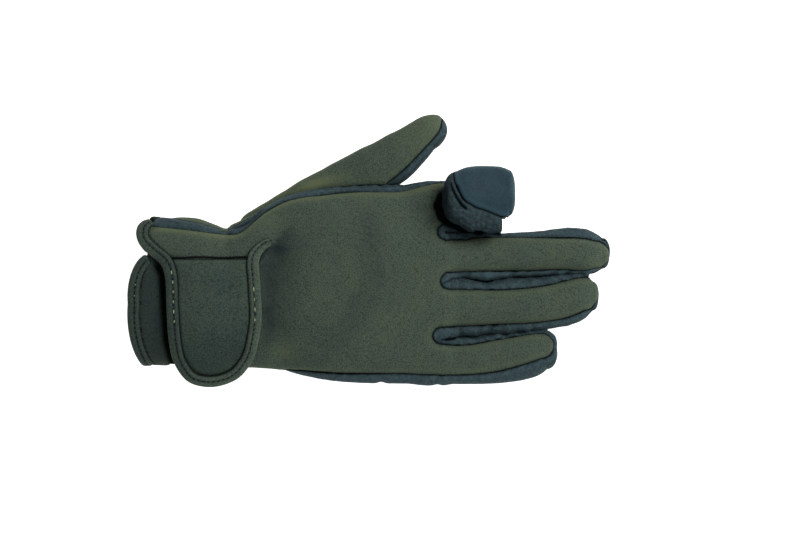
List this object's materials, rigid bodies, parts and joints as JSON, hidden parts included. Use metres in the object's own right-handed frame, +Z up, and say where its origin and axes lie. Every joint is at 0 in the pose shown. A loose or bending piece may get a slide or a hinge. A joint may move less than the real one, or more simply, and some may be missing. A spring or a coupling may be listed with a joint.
{
  "type": "neoprene glove with a fold-back fingertip",
  "caption": "Right-hand work glove lying palm down, hollow, with a cuff closure tab and a fingertip folded back over the open index finger.",
  "frame": {"origin": "on the surface that the glove lies on, under the middle of its length and width", "axes": "+X towards the fingertips, +Y towards the thumb, +Z up from the palm to the back of the hand"},
  "size_m": [0.2512, 0.1408, 0.0412],
  "materials": {
    "olive_neoprene": "matt knitted face on foam rubber",
    "navy_suede": "brushed synthetic leather",
    "navy_pad": "smooth synthetic leather",
    "edge_tape": "matt knitted binding tape"
  },
  "bodies": {
    "root": {"back_panel": "olive_neoprene", "palm_panel": "navy_suede", "index_middle_side_strip": "navy_suede", "middle_ring_side_strip": "navy_suede", "ring_little_side_strip": "navy_suede", "thumb_back": "olive_neoprene", "thumb_front": "navy_suede", "wrist_tab": "olive_neoprene", "tab_binding": "edge_tape", "flap_binding": "edge_tape", "palm_binding": "edge_tape", "fingertip_pad": "navy_pad", "fingertip_wall": "navy_suede", "fingertip_back": "olive_neoprene"}
  },
  "joints": []
}
